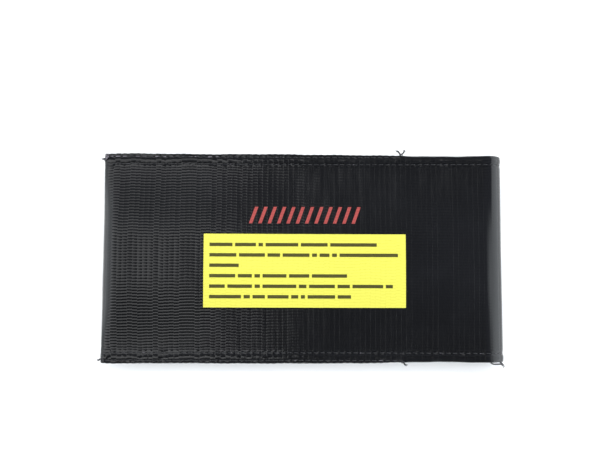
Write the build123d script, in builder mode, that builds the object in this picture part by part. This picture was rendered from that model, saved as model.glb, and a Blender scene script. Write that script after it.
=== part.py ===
"""Fire-resistant charging pouch for a LiPo battery, lying closed on its back.

One long strip of coated glass-cloth runs along the top as the front panel, rolls round the
left end and comes back underneath as the back panel, which stops at the mouth. At the right
end the front panel rolls over and returns underneath as the flap, which covers the mouth and
is held to the back panel by hook and loop tape. The long edges are turned in as hems, and the
two panels are sewn together there as far as the mouth. The flap opens by unrolling its fold,
so the middle of the fold is a body of its own, with a hinge at each side of it.

X runs along the pouch towards the flap's fold, Y across it, Z up. The origin is the middle of
the pouch's footprint, on the surface that it rests on. Millimetres.
"""

import os
from math import asin, atan, cos, degrees, pi, radians, sin, tan

from build123d import *

# Driving dimensions
length = 200.0  # fold to fold
width = 105.0  # edge to edge
height = 12.0  # closed and empty, as the rolled ends hold it open
cloth = 0.7  # coated glass-cloth
lining = 0.4  # plain glass-cloth lining
layer_gap = 0.05  # between two layers that lie on each other
hem = 6.0  # width of the turned-in edge
crown = 56.0  # width of the flat middle of each panel
left_roll = 8.0  # how far the closed end bulges past the straight panels
mouth_x = 50.0  # where the back panel and the side seams end
flap_end_x = 18.0  # free edge of the closed flap
tape_width = 20.0  # hook and loop tape
tape_length = 80.0
tape_thickness = 1.0
tape_x = 35.0  # middle of the closed tape
stitch_pitch = 3.2
stitch_length = 2.7
thread_width = 0.45
thread_rise = 0.15  # how far a stitch stands out of the cloth
seam_inset = 1.8  # side seam's stitches, from the edge
hem_inset = 5.5  # hem's stitches, from the edge
label_width, label_height = 100.2, 36.4
label_x, label_y = 0.6, -6.6
heading_width, heading_height = 55.8, 8.4
heading_x, heading_y = 0.6, 21.1
film = 0.1  # thickness of the printed label
ink = 0.05  # thickness of what is printed on it

# Worked out from them
half_length, half_width = length / 2, width / 2
seam_z = height / 2  # plane where the two hems meet
hem_z = 2 * cloth  # thickness of one hem
turn_depth = hem_z - layer_gap  # inner face of the mouth's hem
flap_z = thread_rise + layer_gap  # the flap's outer stitches just clear the table
roll_radius = (height - flap_z) / 2
roll_x, roll_z = half_length - roll_radius - 2 * thread_rise, height - roll_radius
lining_depth = cloth + layer_gap
lining_floor = lining_depth + lining
hook_z = flap_z + lining_floor + layer_gap
loop_z = hook_z + tape_thickness + layer_gap
back_z = loop_z + tape_thickness + layer_gap  # underside of the back panel over the tapes
step_x = mouth_x - 34.0  # where the back panel has risen over the flap
step_run = 10.0
inner_half = half_width - hem  # inner edge of the hems
joint_gap = 0.1  # half the gap at each hinge of the flap's fold
drop = height - (seam_z + hem_z)  # from the crown down to the hem, over the pouch
neck_fall = layer_gap  # the same where the front panel meets the fold, which is straight
hem_row, seam_row = half_width - hem_inset, half_width - seam_inset
fold_arc = pi / 2 * (roll_radius - cloth / 2)  # a quarter of the fold, laid flat
hinge_reach = fold_arc / 2  # hinge axes from the fold's centre, so that it unrolls straight


def shoulder(fall):
    """Radius and slope of the two equal arcs that lead from the crown down by fall to the hem."""
    run = inner_half - crown / 2
    radius = (run**2 + fall**2) / (4 * fall)
    return radius, asin(run / 2 / radius)


def half_crown(depth, fall):
    """Right half of a panel's upper outline, depth below its surface, as edges in a BuildLine."""
    Line((0, height - depth), (crown / 2, height - depth))
    radius, slope = shoulder(fall)
    turn = degrees(slope)
    CenterArc((crown / 2, height - radius), radius - depth, 90 - turn, turn)
    CenterArc((inner_half, height - fall + radius), radius + depth, 270 - turn, turn)


def lens_face(depth):
    """Cross-section of the closed pouch, depth inside its surface."""
    half = half_width if depth == 0 else inner_half
    edge_z = height - drop - depth
    with BuildSketch(Plane.YZ) as section:
        with BuildLine():
            half_crown(depth, drop)
            if half > inner_half:
                Line((inner_half, edge_z), (half, edge_z))
            Line((half, edge_z), (half, seam_z))
            Line((half, seam_z), (0, seam_z))
            Line((0, seam_z), (0, height - depth))
        make_face()
        mirror(about=Plane.YZ)
        mirror(about=Plane.XZ.offset(-seam_z))
    return section.sketch


def side_face(depth, right_x):
    """Side view of the closed pouch, depth inside its surface."""
    straight_x = left_roll - half_length
    ramp_x = step_x - step_run
    shift = depth * tan(atan(back_z / step_run) / 2)
    with BuildSketch(Plane.XZ) as section:
        with BuildLine():
            Line((right_x, height - depth), (straight_x, height - depth))
            EllipticalCenterArc(
                (straight_x, seam_z), left_roll - depth, seam_z - depth, start_angle=90, arc_size=180
            )
            Polyline(
                (straight_x, depth),
                (ramp_x - shift, depth),
                (step_x - shift, back_z + depth),
                (right_x, back_z + depth),
                (right_x, height - depth),
            )
        make_face()
    return section.sketch


def pillow(depth, right_x):
    """The sewn pouch as a solid, depth inside its surface."""
    with BuildPart() as solid:
        extrude(side_face(depth, right_x), amount=half_width, both=True)
        extrude(lens_face(depth), amount=length, both=True, mode=Mode.INTERSECT)
    return solid.part


def neck_face(x, fall):
    """Cross-section of the front panel beyond the mouth, with its two turned hems."""
    edge_z = height - fall
    with BuildSketch(Plane.YZ.offset(x)) as section:
        with BuildLine():
            half_crown(0, fall)
            Polyline(
                (inner_half, edge_z),
                (half_width, edge_z),
                (half_width, edge_z - hem_z),
                (inner_half, edge_z - hem_z),
                (inner_half, edge_z - cloth),
            )
            half_crown(cloth, fall)
            Line((0, height - cloth), (0, height))
        make_face()
        mirror(about=Plane.YZ)
    return section.sketch


def neck_lining_face(x, fall):
    """Cross-section of the lining under the front panel beyond the mouth."""
    edge_z = height - fall
    with BuildSketch(Plane.YZ.offset(x)) as section:
        with BuildLine():
            half_crown(lining_depth, fall)
            Line((inner_half, edge_z - lining_depth), (inner_half, edge_z - lining_floor))
            half_crown(lining_floor, fall)
            Line((0, height - lining_floor), (0, height - lining_depth))
        make_face()
        mirror(about=Plane.YZ)
    return section.sketch


def roll_face(plane, depth, thick, start, size):
    """A quarter of the flap's fold, seen from the side, depth inside its surface."""
    outer, inner = roll_radius - depth, roll_radius - depth - thick
    with BuildSketch(plane) as section:
        with BuildLine():
            top = CenterArc((roll_x, roll_z), outer, start, size)
            under = CenterArc((roll_x, roll_z), inner, start, size)
            Line(top @ 0, under @ 0)
            Line(top @ 1, under @ 1)
        make_face()
    return section.sketch


def stitches(plane, count):
    """A straight row of stitches centred on a plane's origin, along its x direction."""
    with BuildPart() as row:
        with BuildSketch(plane):
            with GridLocations(stitch_pitch, 0, count, 1):
                SlotOverall(stitch_length, thread_width)
        extrude(amount=thread_rise)
    return row.part


def level_stitches(x_from, x_to, y, z, up=1):
    """A row of stitches along X on a level surface."""
    plane = Plane(((x_from + x_to) / 2, y, z), x_dir=(1, 0, 0), z_dir=(0, 0, up))
    return stitches(plane, int((x_to - x_from) / stitch_pitch))


def cross_stitches(x, z, count, up=1):
    """A row of stitches along Y on a level surface."""
    return stitches(Plane((x, 0, z), x_dir=(0, 1, 0), z_dir=(0, 0, up)), count)


def roll_stitches(y, angles):
    """Stitches round the flap's fold at the given angles from +X."""
    with BuildPart() as row:
        for angle in angles:
            outward = Vector(cos(radians(angle)), 0, sin(radians(angle)))
            along = Vector(-outward.Z, 0, outward.X)
            place = Vector(roll_x, y, roll_z) + outward * roll_radius
            with BuildSketch(Plane(place, x_dir=along, z_dir=outward)):
                SlotOverall(stitch_length - 2 * thread_rise, thread_width)
            extrude(amount=thread_rise)
    return row.part


gap_angle = degrees(asin(joint_gap / roll_radius))
pouch_arc = (45 + gap_angle, 45 - gap_angle)  # start and size of each part of the fold
middle_arc = (gap_angle - 45, 90 - 2 * gap_angle)
flap_arc = (-90, 45 - gap_angle)
pouch_stitches, middle_stitches, flap_stitches = (67.5,), (15.5, -15.5), (-67.5,)

# ---- Pouch: outer cloth -------------------------------------------------------------------

outside = pillow(0, mouth_x)
cloth_inside = pillow(cloth, mouth_x + 1)
hem_inside = pillow(turn_depth, mouth_x + 1)

with BuildPart() as front_cloth:
    add(outside)
    add(cloth_inside, mode=Mode.SUBTRACT)
    split(bisect_by=Plane.XY.offset(seam_z), keep=Keep.TOP)
    loft([neck_face(mouth_x, drop), neck_face(roll_x, neck_fall)], ruled=True)
    extrude(roll_face(Plane.XZ, 0, cloth, *pouch_arc), amount=half_width, both=True)
    for start_y in (-half_width, inner_half):
        extrude(roll_face(Plane.XZ.offset(start_y), cloth, cloth, *pouch_arc), amount=hem)

with BuildPart() as mouth_hem:
    add(cloth_inside)
    add(hem_inside, mode=Mode.SUBTRACT)
    split(bisect_by=Plane.YZ.offset(mouth_x - hem), keep=Keep.TOP)
    split(bisect_by=Plane.YZ.offset(mouth_x), keep=Keep.BOTTOM)

with BuildPart() as back_cloth:
    add(outside)
    add(cloth_inside, mode=Mode.SUBTRACT)
    add(mouth_hem.part)
    split(bisect_by=Plane.XY.offset(seam_z), keep=Keep.BOTTOM)

# ---- Pouch: lining ------------------------------------------------------------------------

lining_outside = pillow(lining_depth, mouth_x)
lining_inside = pillow(lining_floor, mouth_x + 1)

with BuildPart() as front_lining:
    add(lining_outside)
    add(lining_inside, mode=Mode.SUBTRACT)
    split(bisect_by=Plane.XY.offset(seam_z), keep=Keep.TOP)
    loft([neck_lining_face(mouth_x, drop), neck_lining_face(roll_x, neck_fall)], ruled=True)
    extrude(roll_face(Plane.XZ, lining_depth, lining, *pouch_arc), amount=inner_half, both=True)

with BuildPart() as back_lining:
    add(lining_outside)
    add(lining_inside, mode=Mode.SUBTRACT)
    split(bisect_by=Plane.XY.offset(seam_z), keep=Keep.BOTTOM)
    split(bisect_by=Plane.YZ.offset(mouth_x - hem - layer_gap), keep=Keep.BOTTOM)

# ---- Middle of the fold -------------------------------------------------------------------

lining_width = 2 * (inner_half - layer_gap)
with BuildPart() as fold_cloth:
    extrude(roll_face(Plane.XZ, 0, cloth, *middle_arc), amount=half_width, both=True)
    for start_y in (-half_width, inner_half):
        extrude(roll_face(Plane.XZ.offset(start_y), cloth, cloth, *middle_arc), amount=hem)

with BuildPart() as fold_lining:
    middle_lining = roll_face(Plane.XZ, lining_depth, lining, *middle_arc)
    extrude(middle_lining, amount=lining_width / 2, both=True)

# ---- Flap ---------------------------------------------------------------------------------

flap_run = roll_x - flap_end_x
with BuildPart() as flap_cloth:
    extrude(roll_face(Plane.XZ, 0, cloth, *flap_arc), amount=half_width, both=True)
    with BuildSketch(Plane.XY.offset(flap_z)):
        with Locations((flap_end_x + flap_run / 2, 0)):
            Rectangle(flap_run, width)
    extrude(amount=cloth)
    for start_y in (-half_width, inner_half):
        extrude(roll_face(Plane.XZ.offset(start_y), cloth, cloth, *flap_arc), amount=hem)
    with BuildSketch(Plane.XY.offset(flap_z + cloth)):
        with Locations((flap_end_x + flap_run / 2, 0)):
            Rectangle(flap_run, width)
        with Locations((flap_end_x + hem + flap_run / 2, 0)):
            Rectangle(flap_run, 2 * inner_half, mode=Mode.SUBTRACT)
    extrude(amount=cloth)

lining_start = flap_end_x + hem + layer_gap
lining_run = roll_x - lining_start
with BuildPart() as flap_lining:
    flap_roll = roll_face(Plane.XZ, lining_depth, lining, *flap_arc)
    extrude(flap_roll, amount=lining_width / 2, both=True)
    with BuildSketch(Plane.XY.offset(flap_z + lining_depth)):
        with Locations((lining_start + lining_run / 2, 0)):
            Rectangle(lining_run, lining_width)
    extrude(amount=lining)

# ---- Hook and loop tapes ------------------------------------------------------------------

tape_places = {"hook_tape": hook_z, "loop_tape": loop_z}
tapes = {}
for name, bottom in tape_places.items():
    with BuildPart() as tape:
        with BuildSketch(Plane.XY.offset(bottom)):
            with Locations((tape_x, 0)):
                RectangleRounded(tape_width, tape_length, 1.0)
        extrude(amount=tape_thickness)
    tapes[name] = tape.part

# ---- Threads ------------------------------------------------------------------------------

hem_top, hem_bottom = seam_z + hem_z, seam_z - hem_z
seam_from, seam_to = 2.6 - half_length, mouth_x - 2.0
neck_rise = Vector(roll_x - mouth_x, 0, drop - neck_fall)
sides = {"upper": 1, "lower": -1}
threads = {}
for side, sign in sides.items():
    with BuildPart() as seam_thread:
        add(level_stitches(seam_from, seam_to, sign * seam_row, hem_top))
        add(level_stitches(seam_from, seam_to, sign * seam_row, hem_bottom, -1))
    threads[f"{side}_side_seam_thread"] = seam_thread.part

    with BuildPart() as hem_thread:
        add(level_stitches(seam_from, mouth_x, sign * hem_row, hem_top))
        add(level_stitches(seam_from, mouth_x, sign * hem_row, hem_bottom, -1))
        middle = Vector(mouth_x, sign * hem_row, hem_top) + neck_rise / 2
        slope = Plane(middle, x_dir=neck_rise, z_dir=(-neck_rise.Z, 0, neck_rise.X))
        add(stitches(slope, int(neck_rise.length / stitch_pitch)))
        add(roll_stitches(sign * hem_row, pouch_stitches))
    threads[f"{side}_hem_thread"] = hem_thread.part

    with BuildPart() as fold_thread:
        add(roll_stitches(sign * hem_row, middle_stitches))
    threads[f"{side}_fold_thread"] = fold_thread.part

    with BuildPart() as flap_hem_thread:
        add(level_stitches(flap_end_x + 2, roll_x - 1, sign * hem_row, flap_z, -1))
        add(level_stitches(flap_end_x + 2, roll_x - 1, sign * hem_row, flap_z + hem_z))
        add(roll_stitches(sign * hem_row, flap_stitches))
    threads[f"{side}_flap_hem_thread"] = flap_hem_thread.part

end_x = flap_end_x + hem_inset - 1
end_count = int(2 * hem_row / stitch_pitch) - 3
with BuildPart() as flap_end_thread:
    add(cross_stitches(end_x, flap_z, end_count, -1))
    add(cross_stitches(end_x, flap_z + hem_z, end_count))

mouth_row_x = mouth_x - (mouth_x - tape_x - tape_width / 2) / 2
mouth_count = int(tape_length / stitch_pitch) - 2
with BuildPart() as mouth_thread:
    add(cross_stitches(mouth_row_x, back_z, mouth_count, -1))
    add(cross_stitches(mouth_row_x, back_z + turn_depth, mouth_count))

tape_inset = 1.6
tape_rows = (tape_x - tape_width / 2 + tape_inset, tape_x + tape_width / 2 - tape_inset)
tape_count = int((tape_length - 4 * tape_inset) / stitch_pitch)
tape_end = tape_length / 2 - tape_inset
with BuildPart() as hook_tape_thread:
    for x in tape_rows:
        add(cross_stitches(x, flap_z, tape_count, -1))
    for y in (-tape_end, tape_end):
        add(level_stitches(tape_rows[0] + 2, tape_rows[1] - 2, y, flap_z, -1))

with BuildPart() as loop_tape_thread:
    for x in tape_rows:
        add(cross_stitches(x, back_z + lining_floor, tape_count))

knot_radius, knot_height = 0.75, 0.5
knot_places = [
    (1.1 - half_length, seam_row),
    (1.1 - half_length, -seam_row),
    (mouth_x - 0.9, seam_row),
    (mouth_x - 0.9, -seam_row),
]
with BuildPart() as thread_knots:
    with BuildSketch(Plane.XY.offset(hem_top)):
        with Locations(*knot_places):
            Circle(knot_radius)
    extrude(amount=knot_height)
    fillet(thread_knots.faces().sort_by(Axis.Z)[-4:].edges(), 0.3)

# ---- Print --------------------------------------------------------------------------------

with BuildPart() as label_panel:
    with BuildSketch(Plane.XY.offset(height)):
        with Locations((label_x, label_y)):
            Rectangle(label_width, label_height)
    extrude(amount=film)

# Lengths of the plain bars in each line, as words would fall. They spell nothing.
line_bars = [
    (11.3, 10.3, 2.2, 16.2, 13.3, 23.1),
    (13.3, 12.8, 6.2, 13.3, 2.4, 4.9, 2.4, 29.0),
    (14.5,),
    (12.8, 6.9, 2.7, 11.8, 10.0, 17.4),
    (7.7, 12.1, 2.6, 16.7, 3.7, 12.8, 6.1, 15.2, 3.5),
    (15.7, 3.1, 6.1, 10.4, 3.5, 2.0, 13.6, 6.6),
]
bar_gap, bar_height, line_pitch = 1.3, 1.7, 5.15
text_left = label_x - label_width / 2 + 2.9
text_top = label_y + 5 / 2 * line_pitch
with BuildPart() as label_bars:
    with BuildSketch(Plane.XY.offset(height + film)):
        for row, bars in enumerate(line_bars):
            x = text_left
            for bar in bars:
                with Locations((x + bar / 2, text_top - row * line_pitch)):
                    Rectangle(bar, bar_height)
                x += bar + bar_gap
    extrude(amount=ink)

stripe_count, stripe_width, stripe_lean = 12, 1.7, 3.0
stripe_pitch = (heading_width - stripe_lean - stripe_width) / (stripe_count - 1)
left, top = (stripe_width + stripe_lean) / 2, heading_height / 2
stripe = [(-left, -top), (stripe_width - left, -top), (left, top), (left - stripe_width, top)]
with BuildPart() as heading_stripes:
    with BuildSketch(Plane.XY.offset(height)):
        with Locations((heading_x, heading_y)):
            with GridLocations(stripe_pitch, 0, stripe_count, 1):
                Polygon(*stripe, align=None)
    extrude(amount=film)

# ---- Write --------------------------------------------------------------------------------

pieces = {
    "front_cloth": front_cloth.part,
    "back_cloth": back_cloth.part,
    "front_lining": front_lining.part,
    "back_lining": back_lining.part,
    "fold_cloth": fold_cloth.part,
    "fold_lining": fold_lining.part,
    "flap_cloth": flap_cloth.part,
    "flap_lining": flap_lining.part,
    **tapes,
    **threads,
    "flap_end_thread": flap_end_thread.part,
    "mouth_thread": mouth_thread.part,
    "hook_tape_thread": hook_tape_thread.part,
    "loop_tape_thread": loop_tape_thread.part,
    "thread_knots": thread_knots.part,
    "label_panel": label_panel.part,
    "label_bars": label_bars.part,
    "heading_stripes": heading_stripes.part,
}
os.makedirs("parts", exist_ok=True)
for name, piece in pieces.items():
    piece.label = name
    export_step(piece, f"parts/{name}.step")
for hinge, side in (("fold_hinge", 1), ("flap_hinge", -1)):
    print(f"{hinge} at x {roll_x + hinge_reach:.3f}, z {roll_z + side * hinge_reach:.3f}")
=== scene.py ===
"""LiPo charging pouch: the sewn cloth, its print, threads and tapes, on a white floor."""

from math import cos, pi, radians, sin

import bpy
import numpy as np
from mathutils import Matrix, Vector


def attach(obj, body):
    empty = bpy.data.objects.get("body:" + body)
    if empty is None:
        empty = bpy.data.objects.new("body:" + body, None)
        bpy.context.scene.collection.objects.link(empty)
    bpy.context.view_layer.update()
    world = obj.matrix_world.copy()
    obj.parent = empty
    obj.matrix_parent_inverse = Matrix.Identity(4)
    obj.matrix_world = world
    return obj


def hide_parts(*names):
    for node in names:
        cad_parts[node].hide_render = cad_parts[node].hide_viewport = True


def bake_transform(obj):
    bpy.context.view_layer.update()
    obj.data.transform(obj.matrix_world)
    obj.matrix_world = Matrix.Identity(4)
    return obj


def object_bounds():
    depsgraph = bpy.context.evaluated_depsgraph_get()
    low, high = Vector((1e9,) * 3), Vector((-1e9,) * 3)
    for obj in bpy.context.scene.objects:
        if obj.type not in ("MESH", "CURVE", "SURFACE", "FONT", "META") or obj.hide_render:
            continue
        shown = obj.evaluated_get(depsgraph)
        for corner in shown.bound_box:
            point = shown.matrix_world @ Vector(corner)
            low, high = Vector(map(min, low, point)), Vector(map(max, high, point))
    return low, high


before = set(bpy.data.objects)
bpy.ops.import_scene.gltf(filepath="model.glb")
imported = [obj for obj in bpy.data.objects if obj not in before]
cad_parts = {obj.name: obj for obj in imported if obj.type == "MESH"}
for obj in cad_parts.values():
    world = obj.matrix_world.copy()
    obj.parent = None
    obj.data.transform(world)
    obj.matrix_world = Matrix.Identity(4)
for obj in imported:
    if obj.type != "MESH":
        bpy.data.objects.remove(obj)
cad_lo, cad_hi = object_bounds()
MM = 0.001
rng = np.random.default_rng(7)

# ---- Sizes, in mm -------------------------------------------------------------------------------

HALF_W, LEFT = round(cad_hi[1] / MM, 1), round(cad_lo[0] / MM, 1)  # half the width, closed end
CLOTH, HEM = 0.7, 6.0  # cloth's thickness, hems' width
HEM_FACE = 1.36  # depth of a hem's inner face below its outer one: two layers
LINING_BACK, LINING_FACE = 0.76, 1.12  # depths of the lining's two faces
MOUTH, FLAP_END = 50.0, 18.0  # x of the mouth and of the flap's end
ROLL_R, ROLL_X, ROLL_Z = 5.9, 93.8, 6.1  # the flap's fold
END_DEPTH, END_TAPER, END_ARC = 8.0, 5.5, 22.2  # the closed end's roll: reach, loss at its corners, length
CROWN, SAG = 12.0, 0.9  # height along the front's middle, and how far it dips between the ends
EDGE_TOP, EDGE_LOW = 8.05, 5.25  # heights of front and back at the long edges, at the closed end
EDGE_RISE, RISE_FROM = 3.95, 10.0  # how much higher the edges lie at the fold, and where that starts
BACK_LOW, FLAP_STEP = 0.2, 3.42  # height of the back where it rests, and how far the flap lifts it
HEM_ROW, SEAM_ROW = 47.0, 50.7  # stitch rows' distance from the middle
PITCH, STITCH = 3.2, 2.5  # stitches' pitch and length
THREAD_R, TAIL_R = 0.2, 0.19  # radius of the thread and of one strand of a frayed end
SUNK = 0.19  # how deep the stitches lie that the pouch would otherwise rest on
ROW, COLUMN, LINING_PITCH = 1.46, 2.56, 1.3  # the weaves' pitches; the coated one's across and along

# ---- The cloth as a surface ---------------------------------------------------------------------
# u runs along the strip in mm: back panel, closed end's roll, front panel (where it is x),
# flap's fold, flap. y runs across it. All sizes are in mm until a mesh is made.

U_LEFT = LEFT + END_DEPTH  # front panel's end at the closed end
U_BACK = U_LEFT - END_ARC  # back panel's start
U_MOUTH = U_BACK - (MOUTH - U_LEFT)
U_ROLL = ROLL_X
U_MID = U_ROLL + pi * ROLL_R / 2
U_FLAP = U_ROLL + pi * ROLL_R
U_END = U_FLAP + ROLL_X - FLAP_END


def smooth(a, b, v):
    t = np.clip((v - a) / (b - a), 0, 1)
    return t * t * (3 - 2 * t)


def bell(v, width):
    return np.exp(-((v / width) ** 2))


def seam_rise(x):
    """How much higher the long edges lie towards the flap's fold than at the closed end."""
    return EDGE_RISE * np.clip((x - RISE_FROM) / (ROLL_X - RISE_FROM), 0, 1) ** 2


def front_height(x, y):
    crown = CROWN - SAG * np.cos(pi * np.clip(x, -95, 95) / 190) ** 2
    return crown - (crown - EDGE_TOP - seam_rise(x)) * smooth(8, 46, np.abs(y))


def back_height(x, y):
    """The back rests on the floor, and beyond the flap's end on the flap."""
    low = BACK_LOW + FLAP_STEP * smooth(3, 17, x)
    start = 18 + 20 * smooth(-4, 14, x)
    return low + (EDGE_LOW + seam_rise(x) - low) * smooth(0, 1, (np.abs(y) - start) / (46.5 - start))


def roll_depth(y):
    """How far the closed end's roll reaches past the straight panels."""
    return END_DEPTH - END_TAPER * smooth(42, 50, np.abs(y))


def base(u, y):
    """Place (x, z) and outward direction (x, z) of the cloth's outer face, without its relief.

    The closed end's roll is half an ellipse, and the flap's fold is half a circle.
    """
    u, y = np.broadcast_arrays(np.asarray(u, float), np.asarray(y, float))
    left = LEFT + roll_depth(y)
    x, z = np.zeros(u.shape), np.zeros(u.shape)
    nx, nz = np.zeros(u.shape), np.ones(u.shape)
    front = (u >= U_LEFT) & (u <= U_ROLL)
    fx = left + (u - U_LEFT) / (U_ROLL - U_LEFT) * (ROLL_X - left)
    x[front], z[front] = fx[front], front_height(fx, y)[front]
    back = u < U_BACK
    bx = left + (U_BACK - u) / (U_BACK - U_MOUTH) * (MOUTH - left)
    x[back], z[back], nz[back] = bx[back], back_height(bx, y)[back], -1
    roll = (u >= U_BACK) & (u < U_LEFT)
    turn = pi / 2 + (U_LEFT - u) / (U_LEFT - U_BACK) * pi
    top, low = front_height(left, y), back_height(left, y)
    a, b = roll_depth(y), (top - low) / 2
    rx, rz = left + a * np.cos(turn), (top + low) / 2 + b * np.sin(turn)
    mx, mz = b * np.cos(turn), a * np.sin(turn)
    size = np.hypot(mx, mz)
    x[roll], z[roll], nx[roll], nz[roll] = rx[roll], rz[roll], (mx / size)[roll], (mz / size)[roll]
    fold = (u > U_ROLL) & (u <= U_FLAP)
    turn = pi / 2 - (u - U_ROLL) / ROLL_R
    x[fold], z[fold] = (ROLL_X + ROLL_R * np.cos(turn))[fold], (ROLL_Z + ROLL_R * np.sin(turn))[fold]
    nx[fold], nz[fold] = np.cos(turn)[fold], np.sin(turn)[fold]
    flap = u > U_FLAP
    x[flap], z[flap], nz[flap] = (ROLL_X - (u - U_FLAP))[flap], ROLL_Z - ROLL_R, -1
    return x, z, nx, nz


def weave_u(u, y):
    """Length along the cloth, in mm, so that the weave runs straight over every panel."""
    left = LEFT + roll_depth(y)
    arc = pi * np.sqrt((roll_depth(y) ** 2 + ((front_height(left, y) - back_height(left, y)) / 2) ** 2) / 2)
    front = ROLL_X - (ROLL_X - left) * (U_ROLL - u) / (U_ROLL - U_LEFT)
    roll = left - arc * (U_LEFT - u) / (U_LEFT - U_BACK)
    back = left - arc - (MOUTH - left) * (U_BACK - u) / (U_BACK - U_MOUTH)
    return np.where(u > U_ROLL, u, np.where(u >= U_LEFT, front, np.where(u >= U_BACK, roll, back)))


WAVES = [(rng.uniform(45, 95), rng.uniform(0, 2 * pi), rng.uniform(0, 2 * pi)) for _ in range(7)]
PUCKERS = [(rng.uniform(3.2, 13), rng.uniform(0, 2 * pi)) for _ in range(10)]


def seam_part(u):
    """1 along the side seams, 0 elsewhere, on the front and on the back."""
    front = smooth(-97, -95, u) * (1 - smooth(48, 50, u))
    return front + smooth(U_MOUTH + 1, U_MOUTH + 3, u) * (1 - smooth(U_BACK - 2, U_BACK, u))


def relief(u, y):
    """Height of the cloth above its base: slow waves, puckered hems and sewn grooves."""
    u, y = np.broadcast_arrays(np.asarray(u, float), np.asarray(y, float))
    flap = smooth(U_FLAP - 4, U_FLAP + 4, u)
    calm = smooth(U_MOUTH, U_MOUTH + 20, u) * (1 - 0.85 * flap)
    h = np.zeros(u.shape)
    for length, angle, phase in WAVES:
        h += 0.035 * np.sin(2 * pi * (u * np.cos(angle) + y * np.sin(angle)) / length + phase) * calm
    side = np.abs(y)
    near_seam = smooth(43, 49, side)
    for i, (length, phase) in enumerate(PUCKERS):
        skew = 0.9 if i % 2 else -0.7
        h += 0.004 * near_seam * np.sin(2 * pi * (u + skew * (side - 47)) / length + phase + np.sign(y))
    hem_edge = 0.16 * smooth(45.4, 46.6, side) * (1 - flap)
    stitch = np.cos(2 * pi * u / PITCH)
    hem_groove = bell(side - HEM_ROW, 0.75) * (0.14 + 0.22 * flap - 0.035 * stitch)
    seam_groove = seam_part(u) * bell(side - SEAM_ROW, 0.7) * (0.16 - 0.05 * stitch)
    swell = 0.06 * bell(side - 48.9, 1.1) * (1 - flap)
    fold_pinch = 0.35 * bell(side - HEM_ROW, 0.9) * bell(u - U_MID, 7)
    ease = smooth(U_ROLL - 3.8, U_ROLL + 2.6, u) * (1 - smooth(U_ROLL + 2.6, U_MID + 2, u))
    slack = np.clip(0.66 - 0.007 * y, 0.35, 0.95) * ease
    return h + hem_edge - hem_groove - seam_groove + swell - fold_pinch - slack


def lip(u):
    """Radius of the folded edge. Beyond the side seams nothing flattens it."""
    loose = smooth(49, 55, u) * (1 - smooth(U_END - 8, U_END, u))
    return 0.64 + 0.3 * loose + 0.03 * np.sin(u / 2.1) + 0.03 * np.sin(u / 5.3 + 1)


def edge_in(u, side):
    """How far the long edge wanders in from its straight line."""
    x = np.where(u < U_BACK, U_LEFT + U_BACK - u, u)
    drawn_in = 0.85 * smooth(10, 70, x)
    wander = 0.10 * np.sin(u / 9.7 + side) + 0.07 * np.sin(u / 3.9 + 2 * side) + 0.04 * np.sin(u / 1.7)
    return 0.15 + drawn_in + wander + 0.12 * seam_part(u) * (0.5 + 0.5 * np.cos(2 * pi * u / PITCH))


def cloth(u, y, depth=0.0, lift=0.0):
    """Points (..., 3) of the cloth at a depth below its outer face, lifted by lift."""
    x, z, nx, nz = base(u, y)
    up = relief(u, y) - depth + lift
    return np.stack([x + nx * up, np.broadcast_to(y, x.shape), z + nz * up], axis=-1)


# ---- Meshes -------------------------------------------------------------------------------------


def half_samples(*runs):
    """Samples from 0 outwards: each run is (end, step)."""
    out, at = [0.0], 0.0
    for end, step in runs:
        n = max(1, round((end - at) / step))
        out += list(at + (end - at) * np.arange(1, n + 1) / n)
        at = end
    return np.array(out)


def mesh_object(name, points, faces, uv=None, normals=None, material=None):
    mesh = bpy.data.meshes.new(name)
    mesh.from_pydata((np.asarray(points).reshape(-1, 3) * MM).tolist(), [], faces)
    mesh.polygons.foreach_set("use_smooth", [True] * len(mesh.polygons))
    index = np.zeros(len(mesh.loops), int)
    mesh.loops.foreach_get("vertex_index", index)
    if uv is not None:
        layer = mesh.uv_layers.new(name="weave")
        layer.data.foreach_set("uv", np.asarray(uv, np.float32).reshape(-1, 2)[index].ravel())
    if normals is not None:
        mesh.normals_split_custom_set(normals(mesh, index).tolist())
    obj = bpy.data.objects.new(name, mesh)
    bpy.context.scene.collection.objects.link(obj)
    if material is not None:
        mesh.materials.append(material)
    return obj


def strip_grid(us, ring_at, rounded_ends=()):
    """Rings of points, and their uv, of a closed band of cloth. ring_at(u) gives a ring's (y, depth)."""
    points, uv = [], []
    for u in us:
        y, depth = ring_at(u)
        squeeze = 1.0
        for end in rounded_ends:
            near = abs(u - end)
            if near < CLOTH:
                squeeze = np.sqrt(max(0.0, 1 - (1 - near / CLOTH) ** 2))
        middle = depth.max() / 2
        points.append(cloth(u, y, middle + (depth - middle) * squeeze))
        uv.append(np.stack([weave_u(np.full(y.shape, u), y), y], axis=-1))
    return np.array(points), np.array(uv)


def ring_faces(rows, ring, outer):
    """Faces of a band with a cap at each end, and how many of them are walls.

    The first points of a ring, as many as outer says, lie on the cloth's outer face.
    """
    faces = []
    for i in range(rows - 1):
        a, b = i * ring, (i + 1) * ring
        for j in range(ring):
            k = (j + 1) % ring
            faces.append((a + j, a + k, b + k, b + j))
    walls = len(faces)
    lips = (ring - 2 * outer) // 2
    for row in (0, rows - 1):
        o = row * ring
        cap = []
        for j in range(outer - 1):
            cap.append((o + j, o + ring - lips - 1 - j, o + ring - lips - 2 - j, o + j + 1))
        cap.append(tuple(o + j for j in range(outer - 1, outer + lips + 1)))
        cap.append(tuple(o + j % ring for j in range(ring - lips - 1, ring + 1)))
        faces += [tuple(reversed(f)) for f in cap] if row else cap
    return faces, walls


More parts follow.
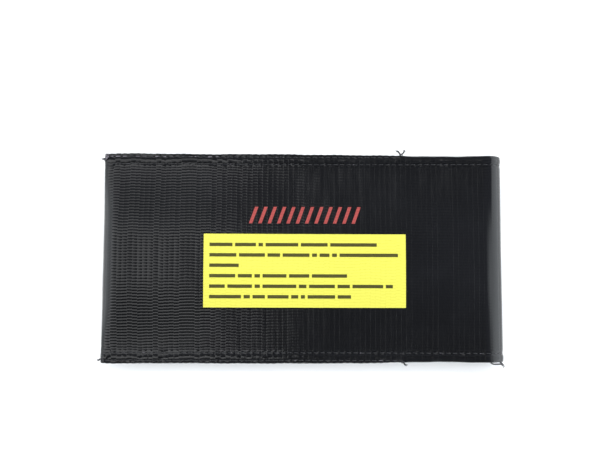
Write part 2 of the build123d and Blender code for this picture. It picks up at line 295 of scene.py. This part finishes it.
def grid_normals(points):
    """Outward directions at the points of a band, so that its cut pieces shade as one."""
    along = np.gradient(points, axis=0)
    ring = np.roll(points, -1, axis=1) - np.roll(points, 1, axis=1)
    n = np.cross(ring, along)
    return n / np.maximum(np.linalg.norm(n, axis=-1, keepdims=True), 1e-9)


def cut_bands(names, points, uv, outer, cuts, material):
    """Cuts one long band into pieces that share their cut rows and their shading."""
    normals = grid_normals(points)
    rows, ring = points.shape[:2]
    out = []
    for name, (a, b) in zip(names, zip([0, *cuts], [*cuts, rows - 1])):
        part = points[a : b + 1]
        faces, walls = ring_faces(b - a + 1, ring, outer)
        flat = normals[a : b + 1].reshape(-1, 3)

        def loop_normals(mesh, index, flat=flat, walls=walls):
            n = flat[index].copy()
            for p in mesh.polygons[walls:]:
                n[p.loop_start : p.loop_start + p.loop_total] = p.normal
            return n

        out.append(mesh_object(name, part, faces, uv[a : b + 1], loop_normals, material))
    return out


def grid_faces(nx, ny, first=0):
    return [
        (first + i * ny + j, first + (i + 1) * ny + j, first + (i + 1) * ny + j + 1, first + i * ny + j + 1)
        for i in range(nx - 1)
        for j in range(ny - 1)
    ]


def tube_points(line, radii, sides=6):
    """Rings of points round a line."""
    line = np.asarray(line, float)
    along = np.gradient(line, axis=0)
    along /= np.maximum(np.linalg.norm(along, axis=1, keepdims=True), 1e-9)
    ref = np.where(np.abs(along[:, 2:3]) > 0.9, [[1.0, 0, 0]], [[0, 0, 1.0]])
    a = np.cross(along, ref)
    a /= np.linalg.norm(a, axis=1, keepdims=True)
    b = np.cross(along, a)
    t = np.arange(sides) / sides * 2 * pi
    ring = a[:, None] * np.cos(t)[None, :, None] + b[:, None] * np.sin(t)[None, :, None]
    return line[:, None] + ring * radii[:, None, None]


def tubes(name, lines, radius, material, sides=6):
    """One mesh of many short tubes with rounded ends."""
    points, faces, first = [], [], 0
    for line in lines:
        n = len(line)
        t = np.linspace(-1, 1, n)
        radii = radius * np.sqrt(np.clip(1 - np.abs(t) ** 6, 0.05, 1))
        ring = tube_points(line, radii, sides)
        points.append(ring.reshape(-1, 3))
        for i in range(n - 1):
            for j in range(sides):
                k = (j + 1) % sides
                a, b = first + i * sides, first + (i + 1) * sides
                faces.append((a + j, b + j, b + k, a + k))
        faces.append(tuple(first + j for j in range(sides)))
        faces.append(tuple(first + (n - 1) * sides + j for j in reversed(range(sides))))
        first += n * sides
    return mesh_object(name, np.concatenate(points), faces, material=material)


# ---- Materials ----------------------------------------------------------------------------------


class Graph:
    """Short names for building a node tree."""

    def __init__(self, tree):
        self.tree = tree

    def add(self, kind, **settings):
        node = self.tree.nodes.new(kind)
        for key, value in settings.items():
            setattr(node, key, value)
        return node

    def link(self, source, target):
        if isinstance(source, bpy.types.NodeSocket):
            self.tree.links.new(source, target)
        else:
            target.default_value = source

    def math(self, op, *values, clamp=False):
        node = self.add("ShaderNodeMath", operation=op, use_clamp=clamp)
        for socket, value in zip(node.inputs, values):
            self.link(value, socket)
        return node.outputs[0]

    def plus(self, a, b):
        return self.math("ADD", a, b)

    def minus(self, a, b):
        return self.math("SUBTRACT", a, b)

    def times(self, a, b):
        return self.math("MULTIPLY", a, b)

    def mix(self, factor, a, b):
        node = self.add("ShaderNodeMix", data_type="RGBA")
        self.link(factor, node.inputs["Factor"])
        self.link(a, node.inputs["A"])
        self.link(b, node.inputs["B"])
        return node.outputs["Result"]

    def ramp(self, value, low, high, a, b):
        """a where value is low, b where it is high, and an even S-curve between."""
        node = self.add("ShaderNodeMapRange", clamp=True, interpolation_type="SMOOTHSTEP")
        for socket, v in zip(node.inputs, (value, low, high, a, b)):
            self.link(v, socket)
        return node.outputs[0]

    def noise(self, vector, scale, detail=2.0, rough=0.5):
        node = self.add("ShaderNodeTexNoise", noise_dimensions="3D")
        self.link(vector, node.inputs["Vector"])
        self.link(scale, node.inputs["Scale"])
        self.link(detail, node.inputs["Detail"])
        self.link(rough, node.inputs["Roughness"])
        return node.outputs["Fac"]

    def stretched(self, vector, x, y, z=1.0):
        node = self.add("ShaderNodeVectorMath", operation="MULTIPLY")
        self.link(vector, node.inputs[0])
        node.inputs[1].default_value = (x, y, z)
        return node.outputs[0]

    def split(self, vector):
        node = self.add("ShaderNodeSeparateXYZ")
        self.link(vector, node.inputs[0])
        return node.outputs


class Finish(Graph):
    """A material with one Principled shader."""

    def __init__(self, name, **inputs):
        self.material = bpy.data.materials.new(name)
        self.material.use_nodes = True
        super().__init__(self.material.node_tree)
        self.shader = self.tree.nodes["Principled BSDF"]
        for key, value in inputs.items():
            self.shader.inputs[key.replace("_", " ")].default_value = value

    def bump(self, height, distance):
        node = self.add("ShaderNodeBump")
        node.inputs["Strength"].default_value = 1.0
        node.inputs["Distance"].default_value = distance
        self.link(height, node.inputs["Height"])
        self.link(node.outputs["Normal"], self.shader.inputs["Normal"])

    def position(self):
        return self.add("ShaderNodeTexCoord").outputs["Object"]


def weave_height(n):
    """(uv, height, open part) of the coated weave: ribs along u, in columns that each fall to a notch."""
    uv = n.add("ShaderNodeUVMap", uv_map="weave").outputs[0]
    u, v, _ = n.split(uv)
    slow = n.minus(n.noise(n.stretched(uv, 0.07, 0.03), 1.0, 2.0), 0.5)
    sway = n.minus(n.noise(n.stretched(uv, 0.27, 0.04), 1.0, 1.0), 0.5)
    lean = n.minus(n.noise(n.stretched(uv, 0.03, 0.02), 1.0, 1.0), 0.5)
    column = n.math("DIVIDE", n.plus(u, lean), COLUMN)
    column_noise = n.add("ShaderNodeTexWhiteNoise", noise_dimensions="1D")
    n.link(n.math("FLOOR", column), column_noise.inputs["W"])
    pick = column_noise.outputs["Value"]
    across = n.plus(v, n.plus(n.times(slow, 1.4), n.times(sway, 0.28)))
    row = n.plus(n.math("DIVIDE", across, ROW), n.times(pick, 0.40))
    rib = n.math("SINE", n.times(n.math("FRACT", row), pi))
    cell = n.add("ShaderNodeCombineXYZ")
    n.link(n.math("FLOOR", column), cell.inputs[0])
    n.link(n.math("FLOOR", row), cell.inputs[1])
    cell_noise = n.add("ShaderNodeTexWhiteNoise", noise_dimensions="2D")
    n.link(cell.outputs[0], cell_noise.inputs["Vector"])
    notch = n.plus(0.09, n.times(cell_noise.outputs["Value"], 0.10))
    along = n.math("FRACT", column)
    fall = n.math("DIVIDE", n.minus(1.0, along), notch, clamp=True)
    flattened = n.ramp(u, -12.0, 4.0, 1.0, 0.10)  # the half towards the flap is pressed smoother
    dip = n.times(n.plus(0.32, n.times(pick, 0.34)), flattened)
    step = n.minus(1.0, n.times(dip, n.minus(1.0, n.times(fall, along))))
    fine = n.noise(n.stretched(uv, 3.0, 8.0), 1.0, 3.0, 0.6)
    height = n.plus(n.times(rib, step), n.times(fine, 0.10))
    return uv, height, n.times(rib, fall)


def coated_cloth():
    """Black coating over a coarse weave, shiny on the ribs and duller in the pits, with painted shade in
    its grooves and notches.
    """
    n = Finish("coated_cloth", Roughness=0.3, IOR=1.5)
    uv, height, open_part = weave_height(n)
    dust = n.noise(n.stretched(uv, 0.05, 0.05), 1.0, 4.0, 0.6)
    # painted shade: the colour is darker in the weave's grooves and notches and lighter on the rib crowns
    dark = n.mix(open_part, (0.0016, 0.0017, 0.0019, 1), (0.0039, 0.0040, 0.0046, 1))
    colour = n.mix(n.ramp(dust, 0.45, 0.75, 0.0, 0.5), dark, (0.0060, 0.0062, 0.0070, 1))
    n.link(colour, n.shader.inputs["Base Color"])
    worn = n.noise(n.stretched(uv, 0.11, 0.08), 1.0, 3.0, 0.6)
    rough = n.plus(0.05, n.times(worn, 0.04))
    pit = n.math("POWER", n.minus(1.0, open_part), 2.0)
    n.link(n.plus(rough, n.times(pit, 0.07)), n.shader.inputs["Roughness"])
    n.bump(height, 0.000115)
    return n.material


def printed(name, colour, worn_colour, roughness, distance):
    """Screen-print that is thinner in the weave's pits."""
    n = Finish(name, Roughness=roughness, IOR=1.48)
    uv, height, open_part = weave_height(n)
    rub = n.noise(n.stretched(uv, 0.9, 0.9), 1.0, 4.0, 0.7)
    thin = n.times(n.minus(1.0, open_part), n.ramp(rub, 0.3, 0.7, 0.25, 0.8))
    n.link(n.mix(thin, colour, worn_colour), n.shader.inputs["Base Color"])
    n.bump(height, distance)
    return n.material


def glass_cloth():
    """Bare off-white plain weave, with painted shade in the weave's low points and slubs that vary its
    colour at random.
    """
    n = Finish("glass_cloth", Roughness=0.55, IOR=1.5)
    n.shader.inputs["Sheen Weight"].default_value = 0.3
    n.shader.inputs["Sheen Roughness"].default_value = 0.4
    uv = n.add("ShaderNodeUVMap", uv_map="weave").outputs[0]
    u, v, _ = n.split(uv)
    a = n.math("SINE", n.times(u, 2 * pi / LINING_PITCH))
    b = n.math("SINE", n.times(v, 2 * pi / LINING_PITCH))
    height = n.times(a, b)
    slub = n.noise(n.stretched(uv, 0.15, 2.2), 1.0, 3.0, 0.6)
    # partly painted shade: darker where the weave dips; the slub part is random variation of colour
    weave_shade_and_slub = n.plus(n.ramp(height, -1.0, 1.0, 0.0, 0.55), n.times(slub, 0.45))
    n.link(n.mix(weave_shade_and_slub, (0.46, 0.44, 0.39, 1), (0.80, 0.79, 0.74, 1)), n.shader.inputs["Base Color"])
    n.bump(n.plus(height, slub), 0.00012)
    return n.material


def filament():
    """Black twisted thread with painted glints: its colour turns light in flecks here and there, most along
    the upper seam's left part.
    """
    n = Finish("thread_black", Roughness=0.28, IOR=1.54)
    where = n.position()
    x, y, _ = n.split(where)
    # painted highlight: more light flecks towards the upper seam's left part
    edge = n.times(n.ramp(x, -0.09, 0.02, 0.14, 0.0), n.ramp(y, 0.048, 0.050, 0.0, 1.0))
    edge = n.times(edge, n.ramp(x, -0.1002, -0.0992, 0.0, 1.0))
    painted_glint = n.ramp(n.plus(n.noise(where, 260.0, 2.0), edge), 0.59, 0.79, 0.0, 1.0)
    # painted highlight: the flecks' light colour stands in for reflected light
    n.link(n.mix(painted_glint, (0.012, 0.012, 0.014, 1), (0.17, 0.155, 0.18, 1)), n.shader.inputs["Base Color"])
    n.link(n.minus(0.55, n.times(painted_glint, 0.2)), n.shader.inputs["Roughness"])
    twist = n.add("ShaderNodeTexWave", bands_direction="DIAGONAL")
    n.link(where, twist.inputs["Vector"])
    twist.inputs["Scale"].default_value = 900.0
    n.bump(twist.outputs["Fac"], 0.00006)
    return n.material


def tape_face(name, dark, light, scale, distance, roughness):
    """Fine pile of a hook or loop tape."""
    n = Finish(name, Roughness=roughness, IOR=1.5)
    n.shader.inputs["Sheen Weight"].default_value = 0.25
    where = n.position()
    pile = n.noise(where, scale, 3.0, 0.7)
    cells = n.add("ShaderNodeTexVoronoi")
    n.link(where, cells.inputs["Vector"])
    cells.inputs["Scale"].default_value = scale * 0.8
    height = n.plus(pile, cells.outputs["Distance"])
    n.link(n.mix(n.ramp(height, 0.4, 1.2, 0.0, 1.0), dark, light), n.shader.inputs["Base Color"])
    n.bump(height, distance)
    return n.material


cloth_mat = coated_cloth()
lining_mat = glass_cloth()
thread_mat = filament()
hook_mat = tape_face("hook_nylon", (0.006, 0.006, 0.007, 1), (0.03, 0.03, 0.033, 1), 1100.0, 0.0005, 0.45)
loop_mat = tape_face("loop_nylon", (0.008, 0.008, 0.009, 1), (0.035, 0.035, 0.038, 1), 1700.0, 0.0006, 0.85)
yellow_mat = printed("print_yellow", (0.585, 0.562, 0.074, 1), (0.445, 0.422, 0.043, 1), 0.5, 0.00004)
ink_mat = printed("print_black", (0.038, 0.034, 0.002, 1), (0.07, 0.063, 0.003, 1), 0.5, 0.00004)
red_mat = printed("print_red", (0.30, 0.045, 0.040, 1), (0.17, 0.022, 0.020, 1), 0.45, 0.00008)

# ---- Cloth --------------------------------------------------------------------------------------

half = half_samples((40, 2.5), (45.2, 1.1), (51.86, 0.42))
ys = np.concatenate([-half[:0:-1], half])
lip_angles = np.radians([54, 18, -18, -54])


def cloth_ring(u):
    """Outer face, rounded edge, inner face with its hems, and the other rounded edge."""
    r = lip(u)
    right, left = (HALF_W - edge_in(u, side) - r for side in (0, 1))
    y = ys / ys[-1] * np.where(ys > 0, right, left)
    side = np.abs(y)
    hem = HEM_FACE + (2 * r - HEM_FACE) * smooth(49, 51.5, side)
    end_hem = 1 - smooth(5.7, 6.1, min(u - U_MOUTH, U_END - u))
    inner = CLOTH + (hem - CLOTH) * np.maximum(smooth(46.2, 46.6, side), end_hem)
    lip_y, lip_depth = r * np.cos(lip_angles), r - r * np.sin(lip_angles)
    y_ring = np.concatenate([y, right + lip_y, y[::-1], -left - lip_y[::-1]])
    depth = np.concatenate([0 * y, lip_depth, inner[::-1], lip_depth[::-1]])
    return y_ring, depth


def steps(a, b, step):
    """Even samples from a to b, about a step apart."""
    return np.linspace(a, b, max(2, round((b - a) / step) + 1))


ends = np.array([0, 0.04, 0.15, 0.35, 0.7])
us = np.concatenate([
    U_MOUTH + ends,
    steps(U_MOUTH + 1.2, U_BACK, 0.85),
    steps(U_BACK, U_LEFT, 0.9)[1:],
    steps(U_LEFT, U_ROLL, 0.66)[1:],
    steps(U_ROLL, U_MID, 0.5)[1:],
    steps(U_MID, U_FLAP, 0.5)[1:],
    steps(U_FLAP, U_END - 1.2, 0.85)[1:],
    U_END - ends[::-1],
])
points, uv = strip_grid(us, cloth_ring, (U_MOUTH, U_END))
cuts = [int(np.argmin(np.abs(us - c))) for c in (U_ROLL, U_MID)]
pouch_shell, fold_shell, flap_shell = cut_bands(
    ("pouch_shell", "fold_shell", "flap_shell"), points, uv, len(ys), cuts, cloth_mat
)

LINING_HALF = 46.2
lining_half = half_samples((40, 3.3), (LINING_HALF, 1.6))
lining_ys = np.concatenate([-lining_half[:0:-1], lining_half])


def lining_ring(u):
    y = np.concatenate([lining_ys, lining_ys[::-1]])
    return y, np.repeat([LINING_BACK, LINING_FACE], len(lining_ys))


lining_us = np.concatenate([
    steps(U_MOUTH + 6.1, U_BACK, 2.2),
    steps(U_BACK, U_LEFT, 1.2)[1:],
    steps(U_LEFT, U_ROLL, 2.0)[1:],
    steps(U_ROLL, U_MID, 0.8)[1:],
    steps(U_MID, U_FLAP, 0.8)[1:],
    steps(U_FLAP, U_END - 6.1, 2.2)[1:],
])
points, uv = strip_grid(lining_us, lining_ring)
cuts = [int(np.argmin(np.abs(lining_us - c))) for c in (U_ROLL, U_MID)]
pouch_lining, fold_strip, flap_lining = cut_bands(
    ("pouch_lining", "fold_inner", "flap_inner"), points, uv, len(lining_ys), cuts, lining_mat
)

# ---- Threads ------------------------------------------------------------------------------------


def stitch(u0, y0, across=False, depth=0.0, out=1.0):
    """Points along one stitch. out is -1 on the cloth's inner face."""
    length = STITCH * rng.uniform(0.9, 1.04)
    t = np.linspace(-1, 1, 7)
    rise = out * (-0.22 + 0.40 * np.sqrt(np.clip(1 - t**2, 0, 1)))
    skew = rng.uniform(-0.09, 0.09) * t + rng.uniform(-0.05, 0.05)
    along = t * length / 2
    if across:
        return cloth(u0 + skew, y0 + along, depth, rise)
    return cloth(u0 + along, y0 + skew, depth, rise)


def row_along(a, b, y, **options):
    numbers = np.arange(np.ceil(a / PITCH), np.floor(b / PITCH) + 1)
    return [stitch(u0, y, **options) for u0 in numbers * PITCH - PITCH / 2]


def row_across(u0, a, b, **options):
    count = int((b - a) / PITCH)
    at = (a + b) / 2 + (np.arange(count) - (count - 1) / 2) * PITCH
    return [stitch(u0, y, across=True, **options) for y in at]


def hem_row(a, b, y):
    """Stitches on both faces of the hem, where its inner face can be seen."""
    return row_along(a, b, y) + row_along(a, b, y, depth=HEM_FACE, out=-1)


made_threads = {}


def sew(node, name, rows, radius=THREAD_R):
    made_threads[node] = tubes(name, rows, radius, thread_mat)


for side, sign in (("upper", 1), ("lower", -1)):
    y = sign * HEM_ROW
    pouch_rows = row_along(U_MOUTH + 2, U_BACK - 1, y) + row_along(U_LEFT + 2, U_ROLL - 2, y)
    pouch_rows += row_along(MOUTH + 1, U_ROLL - 2, y, depth=HEM_FACE, out=-1)
    sew(f"{side}_hem_thread", f"{side}_hem_stitches", pouch_rows)
    sew(f"{side}_fold_thread", f"{side}_fold_stitches", hem_row(U_ROLL - 1, U_MID - 1, y))
    sew(f"{side}_flap_hem_thread", f"{side}_flap_stitches", hem_row(U_MID - 1, U_END - 1, y))
    y = sign * SEAM_ROW
    seam_rows = row_along(LEFT + 2, MOUTH - 1, y) + row_along(U_MOUTH + 1, U_BACK - 1, y)
    sew(f"{side}_side_seam_thread", f"{side}_seam_stitches", seam_rows)

end_u, mouth_u = U_END - 4.5, U_MOUTH + 2.5
end_rows = row_across(end_u, -45, 45, depth=SUNK) + row_across(end_u, -45, 45, depth=HEM_FACE, out=-1)
sew("flap_end_thread", "flap_end_stitches", end_rows)
mouth_rows = row_across(mouth_u, -40, 40) + row_across(mouth_u, -40, 40, depth=HEM_FACE, out=-1)
sew("mouth_thread", "mouth_stitches", mouth_rows)

TAPE_X, TAPE_HALF_X, TAPE_HALF_Y, TAPE_IN = 35.0, 10.0, 40.0, 1.6
HOOK_FACE, LOOP_FACE = 2.15, -0.98  # depths of the tapes' faces below the cloth's outer face


def tape_rows(u_middle, **options):
    """A box of stitches just inside a tape's edge."""
    rows = []
    for way in (-1, 1):
        rows += row_across(u_middle + way * (TAPE_HALF_X - TAPE_IN), -38, 38, **options)
        for u0 in (-5, -1.8, 1.4, 4.6):
            rows.append(stitch(u_middle + u0, way * (TAPE_HALF_Y - TAPE_IN), **options))
    return rows


hook_u = U_FLAP + ROLL_X - TAPE_X
hook_rows = tape_rows(hook_u, depth=SUNK) + tape_rows(hook_u, depth=HOOK_FACE, out=-1)
sew("hook_tape_thread", "hook_tape_stitches", hook_rows)
loop_u = U_MOUTH + MOUTH - TAPE_X
loop_rows = tape_rows(loop_u, depth=LOOP_FACE) + tape_rows(loop_u, depth=LINING_FACE, out=-1)
sew("loop_tape_thread", "loop_tape_stitches", loop_rows)


def curl(points, count=24):
    """A smooth line through a few points."""
    points = np.asarray(points, float)
    n = len(points)
    t = np.linspace(0, n - 1, count)
    padded = np.vstack([2 * points[0] - points[1], points, 2 * points[-1] - points[-2]])
    i = np.minimum(t.astype(int), n - 2)
    f = (t - i)[:, None]
    p0, p1, p2, p3 = (padded[i + k] for k in range(4))
    square = (2 * p0 - 5 * p1 + 4 * p2 - p3) * f**2
    cube = (3 * p1 - p0 - 3 * p2 + p3) * f**3
    return 0.5 * (2 * p1 + (p2 - p0) * f + square + cube)


def frayed(*points):
    """A loose thread end: three fine strands that part towards the tip."""
    line = curl(points)
    part = 0.14 + 0.24 * np.linspace(0, 1, len(line))[:, None]
    return [line + part * np.array((cos(a), sin(a), 0.6 * sin(a + 1))) for a in (0.3, 2.4, 4.5)]


def knot(centre, size, turn=0.0):
    """A trefoil knot of thread."""
    t = np.linspace(0, 2 * pi, 40)
    x = (np.sin(t) + 2 * np.sin(2 * t)) / 3
    y = (np.cos(t) - 2 * np.cos(2 * t)) / 3
    z = -np.sin(3 * t) * 0.55
    c, s = cos(turn), sin(turn)
    return np.stack([x * c - y * s, x * s + y * c, z], axis=1) * size * 1.25 + np.asarray(centre)


tails = [
    knot((-98.3, 50.9, 8.5), 0.7),
    *frayed((-98.4, 50.5, 8.6), (-99.4, 49.6, 8.9), (-100.5, 49.2, 8.8), (-101.5, 49.3, 8.4)),
    *frayed((-98.6, 50.0, 8.7), (-99.4, 49.0, 8.8), (-100.2, 48.5, 8.6)),
    knot((-98.6, -50.6, 8.5), 0.55, 0.7),
    *frayed((-98.6, -50.6, 8.6), (-99.8, -50.2, 8.7), (-100.6, -50.8, 8.3), (-101.4, -50.5, 7.9)),
    knot((49.2, 51.9, 8.95), 0.7, 0.4),
    *frayed((49.0, 51.8, 9.05), (48.2, 53.0, 9.15), (47.4, 53.9, 9.0), (46.5, 54.1, 8.7)),
    *frayed((49.5, 51.9, 9.05), (50.3, 53.1, 9.3), (50.9, 53.9, 9.0), (50.5, 54.6, 8.7)),
    knot((49.2, -51.3, 8.85), 0.6, 1.3),
    *frayed((49.2, -51.3, 9.05), (50.2, -52.6, 8.9), (51.4, -53.0, 8.3)),
    *frayed(
        (91.3, -51.0, 10.9), (93.6, -52.2, 10.2), (96.0, -52.4, 9.0),
        (98.2, -52.5, 7.6), (99.5, -53.2, 6.4), (100.1, -54.4, 5.4),
    ),
    *frayed((97.2, -51.3, 8.8), (98.4, -52.0, 8.0), (99.2, -52.9, 7.0)),
]
sew("thread_knots", "thread_tails", tails, TAIL_R)

# ---- Print --------------------------------------------------------------------------------------


def outlines(node):
    """One (n, 2) array of corners, in mm, for each separate solid of a CAD node."""
    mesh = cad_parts[node].data
    at = np.round(np.array([v.co for v in mesh.vertices]) / MM, 3)
    corners, same = np.unique(at, axis=0, return_inverse=True)
    label = np.arange(len(corners))
    ends = same.ravel()[np.array([e.vertices for e in mesh.edges])]
    for _ in corners:
        low = label[ends].min(axis=1)
        before = label.copy()
        np.minimum.at(label, ends[:, 0], low)
        np.minimum.at(label, ends[:, 1], low)
        if (before == label).all():
            break
    return [corners[label == k, :2] for k in np.unique(label)]


def print_piece(name, node, lift, material, step=1.0):
    """A CAD node's flat shapes, which are boxes or lean over, laid on the cloth as a thin print."""
    all_points, all_uv, faces, first = [], [], [], 0
    for shape in outlines(node):
        y0, y1 = shape[:, 1].min(), shape[:, 1].max()
        foot = shape[shape[:, 1] < y0 + 0.01, 0]
        x0, x1 = foot.min(), foot.max()
        lean = shape[shape[:, 1] > y1 - 0.01, 0].min() - x0
        nx, ny = (max(2, round((b - a) / step) + 1) for a, b in ((x0, x1), (y0, y1)))
        u, y = np.meshgrid(np.linspace(x0, x1, nx), np.linspace(y0, y1, ny), indexing="ij")
        u = u + lean * (y - y0) / (y1 - y0)
        all_points.append(cloth(u, y, lift=lift).reshape(-1, 3))
        all_uv.append(np.stack([u, y], axis=-1).reshape(-1, 2))
        faces += grid_faces(nx, ny, first)
        first += nx * ny
    return mesh_object(name, np.concatenate(all_points), faces, np.concatenate(all_uv), material=material)


label = print_piece("print_panel", "label_panel", 0.05, yellow_mat)
text_bars = print_piece("print_bars", "label_bars", 0.09, ink_mat)
heading = print_piece("print_stripes", "heading_stripes", 0.06, red_mat, step=0.8)

# ---- Bodies -------------------------------------------------------------------------------------

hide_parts("front_cloth", "back_cloth")
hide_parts("fold_cloth")
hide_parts("flap_cloth")
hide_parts("front_lining", "back_lining")
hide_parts("fold_lining")
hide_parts("flap_lining")
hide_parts("label_panel")
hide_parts("label_bars")
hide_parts("heading_stripes")
for node, obj in made_threads.items():
    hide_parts(node)


def threads(*nodes):
    return [made_threads[node] for node in nodes]


for obj in (fold_shell, fold_strip, *threads("upper_fold_thread", "lower_fold_thread")):
    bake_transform(obj)
for obj in (flap_shell, flap_lining, *threads("upper_flap_hem_thread", "lower_flap_hem_thread")):
    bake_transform(obj)
for obj in threads("flap_end_thread", "hook_tape_thread"):
    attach(obj, "flap")
seams = threads("upper_hem_thread", "lower_hem_thread", "upper_side_seam_thread", "lower_side_seam_thread")
seams += threads("mouth_thread", "loop_tape_thread", "thread_knots")
for obj in (pouch_shell, pouch_lining, label, text_bars, heading, *seams):
    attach(obj, "pouch")

for node, material in (("hook_tape", hook_mat), ("loop_tape", loop_mat)):
    for material_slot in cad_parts[node].material_slots:
        material_slot.material = material

# ---- Camera, light, floor -----------------------------------------------------------------------

scene = bpy.context.scene
scene.view_settings.view_transform = "Standard"
camera = bpy.data.objects.new("camera", bpy.data.cameras.new("camera"))
camera.data.lens, camera.data.sensor_width = 50.5, 36
camera.data.clip_start, camera.data.clip_end = 0.01, 50
camera.location = (-0.0091, -0.0222, 0.4280)
camera.rotation_euler = (radians(5.25), radians(-1.01), radians(0.15))
scene.collection.objects.link(camera)
scene.camera = camera


def panel(name, size, place, radiance):
    """A soft box aimed at the pouch and unseen in reflections. Its power is radiance x 4 x area."""
    light = bpy.data.lights.new(name, "AREA")
    light.shape, (light.size, light.size_y) = "RECTANGLE", size
    light.energy = radiance * 4 * size[0] * size[1]
    obj = bpy.data.objects.new(name, light)
    obj.location = place
    obj.rotation_euler = Vector(place).to_track_quat("Z", "Y").to_euler()
    obj.visible_camera = False
    obj.visible_glossy = False
    scene.collection.objects.link(obj)


panel("back_key", (1.3, 0.9), (-0.1, 1.0, 1.15), 4.1)
panel("left_panel", (1.8, 1.0), (-1.5, 0.0, 0.75), 1.35)
panel("right_panel", (1.8, 1.0), (1.5, 0.0, 0.75), 1.4)
panel("front_panel", (2.2, 0.8), (0.0, -1.5, 0.75), 0.7)


def studio_sky():
    """What the coating reflects: a dim room, bright at its walls, and a large window at the left."""
    world = bpy.data.worlds.new("world")
    world.use_nodes = True
    g = Graph(world.node_tree)
    x, y, z = g.split(g.add("ShaderNodeTexCoord").outputs["Generated"])
    slope = g.plus(g.ramp(x, 0.01, 0.22, 0.0, 0.165), g.ramp(y, 0.04, 0.24, 0.0, 0.12))
    room = g.plus(slope, 0.031)
    walls = g.times(g.math("POWER", g.math("SUBTRACT", 1.0, z, clamp=True), 1.6), 1.2)
    left_wall = g.ramp(x, -0.35, -0.95, 0.0, 1.3)
    right_wall = g.ramp(x, 0.38, 0.56, 0.0, 1.65)
    rim = g.plus(x, g.times(y, 0.12))
    across = g.times(g.ramp(rim, -0.004, -0.011, 0.0, 1.0), g.ramp(x, -0.80, -0.60, 0.0, 1.0))
    along = g.times(g.ramp(y, -0.23, -0.17, 0.0, 1.0), g.ramp(y, 0.34, 0.25, 0.0, 1.0))
    near_edge = g.times(g.ramp(x, -0.10, -0.02, 0.0, 1.3), g.ramp(y, 0.0, -0.03, 0.0, 1.0))
    far_side = g.ramp(x, -0.14, -0.24, 0.0, 0.3)
    pane = g.plus(g.plus(g.ramp(y, 0.2, -0.08, 1.0, 1.65), near_edge), far_side)
    window = g.times(g.times(across, along), pane)
    lit = (0.0, 0.0, 0.0)
    for part, tint in (
        (room, (0.84, 0.90, 1.12)),
        (g.plus(walls, g.plus(left_wall, right_wall)), (0.94, 1.0, 1.03)),
        (window, (0.99, 1.0, 1.01)),
    ):
        colour = g.add("ShaderNodeVectorMath", operation="SCALE")
        colour.inputs[0].default_value = tint
        g.link(part, colour.inputs["Scale"])
        total = g.add("ShaderNodeVectorMath", operation="ADD")
        g.link(lit, total.inputs[0])
        g.link(colour.outputs[0], total.inputs[1])
        lit = total.outputs[0]
    seen = g.add("ShaderNodeLightPath").outputs["Is Camera Ray"]
    g.link(g.mix(seen, lit, (1, 1, 1, 1)), g.tree.nodes["Background"].inputs["Color"])
    return world


scene.world = studio_sky()

FLOOR_HALF = 9000
floor_mat = Finish("floor_white", Base_Color=(0.9, 0.9, 0.9, 1), Roughness=0.6).material
corners = [(x * FLOOR_HALF, y * FLOOR_HALF, 0) for x, y in ((-1, -1), (1, -1), (1, 1), (-1, 1))]
floor = mesh_object("floor", corners, [(0, 1, 2, 3)], material=floor_mat)
